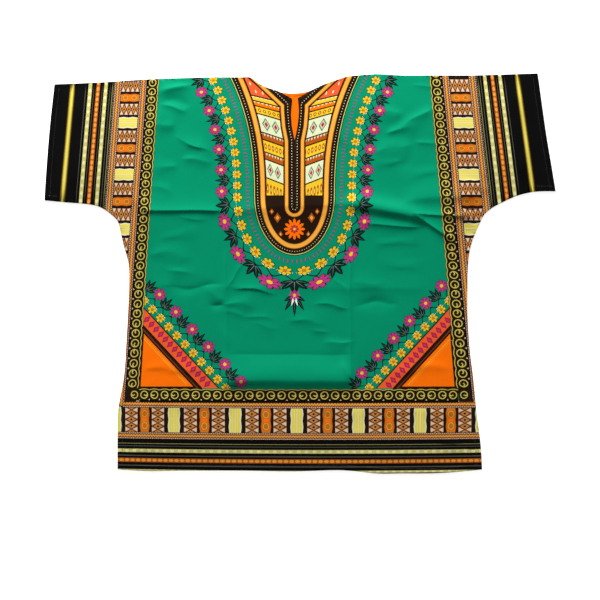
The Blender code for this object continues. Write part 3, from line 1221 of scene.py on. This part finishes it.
def crest_points(rim):
    """Fewer points along each fold, for the lining."""
    points = []
    for folds, waver in ((MAIN_FOLDS, MAIN_WAVER), (CREASES, FINE_WAVER)):
        for fold in folds:
            aside = (-min(fold.after, CREASE_FLANK), 0.0, min(fold.before, CREASE_FLANK))
            points.append(fold_rows(fold, waver, CREST_SPACING, aside))
    return kept_inside(np.vstack(points), rim, CREST_SPACING / 2)


def kept_inside(points, rim, margin):
    points = points[inside(points, rim.line)]
    return points[rim.distance(points) > margin]


def rim_points(rim):
    """Rows of points along the rim, where it rolls over and where the turned hem ends."""
    half = HEM_SLOPE / 2
    depths = (EDGE_ROLL / 2, EDGE_ROLL, HEM_WIDTH - half, HEM_WIDTH, HEM_WIDTH + half)
    return np.vstack([rim.inset(depth) for depth in depths])


def cells(points, size):
    """The number of the square that each point lies in."""
    places = np.floor(np.asarray(points) / size).astype(int)
    return places[:, 0] * 100000 + places[:, 1]


def thinned(points):
    """The points without those that share a small square with an earlier one."""
    _, first = np.unique(cells(points, CELL), return_index=True)
    return points[np.sort(first)]


def form_points(rim, print_points):
    """The points that carry the printed face's form where the print's own are far apart."""
    points = np.vstack([crease_points(rim), grid_inside(rim, TOP_SPACING)])
    apart = ~np.isin(cells(points, PRINT_CELL), cells(print_points, PRINT_CELL))
    return thinned(np.vstack([rim_points(rim), points[apart]]))


def lining_points(rim):
    """The points that carry the lining's form, with rows along the turned edge of the neck."""
    depths = (NECK_HEM - NECK_HEM_SLOPE, NECK_HEM, NECK_HEM + NECK_HEM_SLOPE)
    rows = np.vstack([rim.inset(depth) for depth in depths])
    rows = rows[rim.neck_distance(rows) < 2 * NECK_HEM]
    return thinned(np.vstack([rows, crest_points(rim), grid_inside(rim, LINING_SPACING)]))


def boundary(triangles):
    """The loop of corners around the triangles."""
    edges = set()
    for a, b, c in triangles.tolist():
        edges.update(((a, b), (b, c), (c, a)))
    return outer_loop(edges)


def lining(rim_places, points):
    """Triangles that fill a closed rim, and the corner that each place of the rim became."""
    places = [Vector(p) for p in list(rim_places) + list(points)]
    count = len(rim_places)
    flat_mesh = delaunay_2d_cdt(places, [], [list(range(count))], 0, 1e-3)
    triangles = np.array([f for f, sources in zip(flat_mesh[2], flat_mesh[5]) if sources])
    corner_of = {old: new for new, olds in enumerate(flat_mesh[3]) for old in olds}
    filled = np.array([tuple(p) for p in flat_mesh[0]])
    return filled, triangles, [corner_of[k] for k in range(count)]


def normals_of(height, places, heights, side):
    """The way out of a surface at each place, found from its height a little further on."""
    steps = (np.array([SLOPE_STEP, 0.0]), np.array([0.0, SLOPE_STEP]))
    slopes = [(height(places + step) - heights) / SLOPE_STEP for step in steps]
    out = np.stack([-slopes[0], -slopes[1], np.ones(len(places))], 1) * side
    return out / np.linalg.norm(out, axis=1)[:, None]


def panel(name, rim, printed_height, lining_height, side, lining_ink):
    """A closed thin shell. side is 1 where the printed face is its upper one and -1 where it
    is its lower one."""
    cloth = whole_print(rim.line)
    places, triangles, inks = cloth.faces(form_points(rim, cloth.points))
    loop = boundary(triangles)
    inner_places, inner_triangles, inner_loop = lining(places[loop], lining_points(rim))
    count = len(places)

    outer_z, inner_z = printed_height(places), lining_height(inner_places)
    shells = ((places, outer_z), (inner_places, inner_z))
    corners = np.vstack([np.column_stack(shell) for shell in shells])
    ways = np.vstack(
        [
            normals_of(printed_height, places, outer_z, side),
            normals_of(lining_height, inner_places, inner_z, -side),
        ]
    )
    outer = triangles[:, ::side]
    inner = inner_triangles[:, ::-side] + count
    middles = inner_places[inner_triangles].mean(1)
    inner_inks = [lining_ink(*middle) for middle in middles]

    walls, wall_inks, wall_ways, wall_places = [], [], [], []
    face_of = {}
    for face, ink in zip(triangles.tolist(), inks):
        for a, b in zip(face, face[1:] + face[:1]):
            face_of[a, b] = ink
    for k, a in enumerate(loop):
        j = (k + 1) % len(loop)
        b, inner_a, inner_b = loop[j], inner_loop[k] + count, inner_loop[j] + count
        if inner_a == inner_b:
            continue
        wall = (inner_a, inner_b, b, a)
        walls.append(wall[::side])
        wall_inks.append(face_of[a, b])
        run = places[b] - places[a]
        out = np.array([run[1], -run[0], 0.0]) / np.linalg.norm(run)
        wall_ways += [out] * 4
        rim_a, rim_b = places[a], places[b]
        beyond = WALL * out[:2]
        wall_places += [rim_a + beyond, rim_b + beyond, rim_b, rim_a][::side]

    faces = outer.tolist() + inner.tolist() + walls
    mesh = bpy.data.meshes.new(name)
    mesh.from_pydata(corners * MM, [], faces)
    for ink, rgb in INKS.items():
        mesh.materials.append(cotton(ink, rgb))
    slots = np.concatenate([inks, inner_inks, wall_inks]).astype(np.int32)
    mesh.polygons.foreach_set("material_index", slots)
    around = np.vstack([places[outer.reshape(-1)], np.array(wall_places)]) * MM + MAP_PLACE
    lining_map = corners[inner.reshape(-1), :2] * MM * MAP_SMALL + MAP_CORNER
    print_map = np.insert(around, [outer.size] * inner.size, lining_map, axis=0)
    mesh.uv_layers.new(name="OFBake").data.foreach_set("uv", print_map.reshape(-1))
    mesh.shade_smooth()
    loop_ways = np.vstack([ways[outer.reshape(-1)], ways[inner.reshape(-1)], np.array(wall_ways)])
    mesh.normals_split_custom_set(loop_ways.tolist())
    return placed(name, mesh)


# Materials


def linear(value):
    """A display colour from 0 to 255 as a linear share of the light."""
    share = value / 255
    return share / 12.92 if share <= 0.04045 else ((share + 0.055) / 1.055) ** 2.4


def cotton(ink, rgb):
    """Plain-weave cotton in one ink, unevenly dyed, with its weave and a faint nap."""
    name = "cotton_" + ink
    material = bpy.data.materials.get(name)
    if material:
        return material
    material = bpy.data.materials.new(name)
    material.use_nodes = True
    nodes, links = material.node_tree.nodes, material.node_tree.links
    shader = nodes["Principled BSDF"]
    colour = [linear(c) * ALBEDO for c in rgb]

    place = nodes.new("ShaderNodeTexCoord")
    dye = nodes.new("ShaderNodeTexNoise")
    dye.inputs["Scale"].default_value = DYE_SCALE
    dye.inputs["Detail"].default_value = DYE_DETAIL
    dye.inputs["Roughness"].default_value = DYE_ROUGHNESS
    links.new(place.outputs["Object"], dye.inputs["Vector"])
    tint = nodes.new("ShaderNodeMix")
    tint.data_type = "RGBA"
    tint.inputs["A"].default_value = (*[c * (1 - DYE_SPREAD) for c in colour], 1.0)
    tint.inputs["B"].default_value = (*[min(1.0, c * (1 + DYE_SPREAD)) for c in colour], 1.0)
    links.new(dye.outputs["Fac"], tint.inputs["Factor"])
    links.new(tint.outputs["Result"], shader.inputs["Base Color"])

    threads = []
    for direction in ("X", "Y"):
        wave = nodes.new("ShaderNodeTexWave")
        wave.bands_direction = direction
        wave.inputs["Scale"].default_value = WAVE_PERIOD / (THREAD_SPACING * MM)
        wave.inputs["Distortion"].default_value = THREAD_WAVER
        wave.inputs["Detail Scale"].default_value = THREAD_WAVER_SCALE
        links.new(place.outputs["Object"], wave.inputs["Vector"])
        threads.append(wave)
    weave = nodes.new("ShaderNodeMath")
    weave.operation = "MULTIPLY"
    for k, wave in enumerate(threads):
        links.new(wave.outputs["Fac"], weave.inputs[k])
    bump = nodes.new("ShaderNodeBump")
    bump.inputs["Strength"].default_value = WEAVE_STRENGTH
    bump.inputs["Distance"].default_value = THREAD_HEIGHT * MM
    links.new(weave.outputs["Value"], bump.inputs["Height"])
    links.new(bump.outputs["Normal"], shader.inputs["Normal"])

    shader.inputs["Roughness"].default_value = CLOTH_ROUGHNESS
    shader.inputs["Specular IOR Level"].default_value = CLOTH_SPECULAR
    shader.inputs["Sheen Weight"].default_value = NAP_WEIGHT
    shader.inputs["Sheen Tint"].default_value = (*colour, 1.0)
    shader.inputs["Sheen Roughness"].default_value = NAP_ROUGHNESS
    return material


def plain(name, rgb, roughness):
    material = bpy.data.materials.new(name)
    material.use_nodes = True
    shader = material.node_tree.nodes["Principled BSDF"]
    shader.inputs["Base Color"].default_value = (*[linear(c) for c in rgb], 1.0)
    shader.inputs["Roughness"].default_value = roughness
    return material


# Stitching


def open_runs(rim):
    """The open, turned edges of a panel, one row of points for each."""
    count = len(rim.line)
    starts = [k for k in range(count) if rim.is_open[k] and not rim.is_open[k - 1]]
    runs = []
    for start in starts:
        run = [start]
        while rim.is_open[run[-1] % count]:
            run.append(run[-1] + 1)
        runs.append(rim.line[np.array(run) % count])
    return runs


def stitch_row(rim):
    """The middle and the direction of each stitch along the turned edges."""
    rows = []
    for run in open_runs(rim):
        neck = run[:, 1].min() > NECK_ABOVE and np.abs(run[:, 0]).max() < 2 * NECK_HALF_WIDTH
        path = Path(mitred(run, NECK_STITCH_IN if neck else HEM_STITCH_IN), spacing=2.0)
        for s in np.arange(STITCH_PITCH, path.length - STITCH_PITCH, STITCH_PITCH):
            before, after = (np.array(path.at(s + d, 0.0)) for d in (-1.0, 1.0))
            middle = (before + after) / 2
            rows.append((middle, (after - before) / np.linalg.norm(after - before)))
    middles = np.array([m for m, _ in rows])
    keep = inside(middles, rim.line) & (rim.distance(middles) > NECK_STITCH_IN / 2)
    return middles[keep], np.array([w for _, w in rows])[keep]


STITCH_RINGS = ((-1.0, 0.3), (-0.6, 1.0), (0.6, 1.0), (1.0, 0.3))
STITCH_SIDES = 6


def stitching(name, rim, height, sink):
    """Short round stitches that lie in the cloth's surface."""
    middles, ways = stitch_row(rim)
    levels = height(middles) - sink
    vertices, faces = [], []
    turns = 2 * math.pi * np.arange(STITCH_SIDES) / STITCH_SIDES
    for middle, way, level in zip(middles, ways, levels):
        first = len(vertices)
        across = np.array([-way[1], way[0]])
        for share, swell in STITCH_RINGS:
            centre = middle + way * share * STITCH_LENGTH / 2
            for turn in turns:
                flat_place = centre + across * STITCH_RADIUS * swell * math.cos(turn)
                vertices.append((*flat_place, level + STITCH_RADIUS * swell * math.sin(turn)))
        for ring in range(len(STITCH_RINGS) - 1):
            low, high = first + ring * STITCH_SIDES, first + (ring + 1) * STITCH_SIDES
            for k in range(STITCH_SIDES):
                j = (k + 1) % STITCH_SIDES
                faces.append((low + k, low + j, high + j, high + k))
        faces.append(tuple(range(first + STITCH_SIDES - 1, first - 1, -1)))
        last = first + (len(STITCH_RINGS) - 1) * STITCH_SIDES
        faces.append(tuple(range(last, last + STITCH_SIDES)))
    mesh = bpy.data.meshes.new(name)
    mesh.from_pydata(np.array(vertices) * MM, [], faces)
    mesh.shade_smooth()
    return placed(name, mesh)


# The finished shirt


def cut_size(rim):
    """The width and length of a panel's cut and its area, in metres."""
    width, length = (rim.line.max(0) - rim.line.min(0)) * MM
    x, y = rim.line[:, 0], rim.line[:, 1]
    area = 0.5 * abs(float(np.dot(x, np.roll(y, -1)) - np.dot(y, np.roll(x, -1))))
    return (float(width), float(length)), area * MM**2


def front_form(rim, points):
    """How high the front's inner face lies over the top of the back."""
    from_rim = rim.distance(points)
    form = PUFF_HEIGHT * ease(from_rim / PUFF_REACH)
    form += (folds_height(points) + ripple(points)) * ease(from_rim / FOLD_REACH)
    form += NECK_LIFT * np.exp(-((rim.neck_distance(points) / NECK_LIFT_REACH) ** 2))
    return np.maximum(form, 0.0)


def back_form(rim, points):
    """How much the back lifts off the surface below, under the front's folds."""
    folds = folds_height(points) + ripple(points)
    return BACK_SHARE * np.maximum(folds, 0.0) * ease(rim.distance(points) / FOLD_REACH)


def edge_form(rim, points):
    """How much lower than its turned hem a panel's face is, and how its rim rolls over."""
    roll = EDGE_DROP * (1 - np.clip(rim.distance(points) / EDGE_ROLL, 0, 1)) ** 2
    return roll + HEM_STEP * ease((rim.hem_distance(points) - HEM_WIDTH) / HEM_SLOPE + 0.5)


def make_front(thread):
    rim = Rim("front_panel")

    def inner(points):
        return WALL + SEAM_GAP + front_form(rim, points)

    def top(points):
        return inner(points) + WALL - edge_form(rim, points)

    cloth = panel("front_cloth", rim, top, inner, 1, lambda x, y: INK_SLOT["green"])
    stitches = stitching("front_stitching", rim, top, STITCH_SINK)
    stitches.data.materials.append(thread)
    return rim, cloth, stitches


def make_back(thread):
    rim = Rim("back_panel")

    def inner(points):
        hem = ease((NECK_HEM - rim.neck_distance(points)) / NECK_HEM_SLOPE + 0.5)
        near = ease((NECK_HEM_HALF - np.abs(points[:, 0] - NECK_CENTRE)) / 8.0)
        return WALL + back_form(rim, points) + NECK_HEM_HEIGHT * hem * near

    def under(points):
        return back_form(rim, points) + UNDER_SHARE * edge_form(rim, points)

    def lining_ink(x, y):
        return INK_SLOT["orange" if y > 190.0 and abs(x - NECK_CENTRE) < 140.0 else "green"]

    cloth = panel("back_cloth", rim, under, inner, -1, lining_ink)
    stitches = stitching("back_stitching", rim, under, -STITCH_SINK)
    stitches.data.materials.append(thread)
    return rim, cloth, stitches


def make_studio():
    """The plain pale floor, the soft light and the camera straight above."""
    mesh = bpy.data.meshes.new("floor")
    signs = ((-1, -1), (1, -1), (1, 1), (-1, 1))
    corners = [(a * FLOOR_HALF, b * FLOOR_HALF, FLOOR_Z) for a, b in signs]
    mesh.from_pydata(corners, [], [(0, 1, 2, 3)])
    paper = plain("floor_paper", FLOOR_RGB, FLOOR_ROUGHNESS)
    glow = paper.node_tree.nodes["Principled BSDF"].inputs
    glow["Emission Color"].default_value = (1.0, 1.0, 1.0, 1.0)
    glow["Emission Strength"].default_value = FLOOR_GLOW
    mesh.materials.append(paper)
    floor = placed("floor", mesh)
    floor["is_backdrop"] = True

    world = bpy.data.worlds.new("studio")
    world.use_nodes = True
    sky = world.node_tree.nodes["Background"]
    sky.inputs["Color"].default_value = (1.0, 1.0, 1.0, 1.0)
    sky.inputs["Strength"].default_value = SKY_STRENGTH
    bpy.context.scene.world = world
    bpy.context.scene.view_settings.view_transform = "Standard"
    light = bpy.data.lights.new("key", "AREA")
    light.shape = "DISK"
    light.size = KEY_SIZE
    light.energy = KEY_ENERGY
    key = placed("key", light)
    key.location = KEY_PLACE
    key.rotation_euler = (-Vector(KEY_PLACE)).to_track_quat("-Z", "Y").to_euler()

    lens = bpy.data.cameras.new("camera")
    lens.sensor_width = SENSOR * 1000
    lens.lens = SENSOR * 1000 * CAMERA_HEIGHT / FRAME_WIDTH
    lens.clip_end = 50.0
    camera = placed("camera", lens)
    camera.location = (0.0, CAMERA_Y, CAMERA_HEIGHT)
    bpy.context.scene.camera = camera


thread = plain("thread", STITCH_RGB, STITCH_ROUGHNESS)
front_rim, front_cloth, front_stitches = make_front(thread)
back_rim, back_cloth, back_stitches = make_back(thread)
for piece in (front_cloth, front_stitches, back_cloth, back_stitches):
    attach(piece, "root")
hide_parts("front_panel")
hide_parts("back_panel")
make_studio()

front_flat, front_area = cut_size(front_rim)
back_flat, back_area = cut_size(back_rim)

boxes = {"solids": cad_box, "with_looks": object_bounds()}
{key: [list(corner) for corner in box] for key, box in boxes.items()}
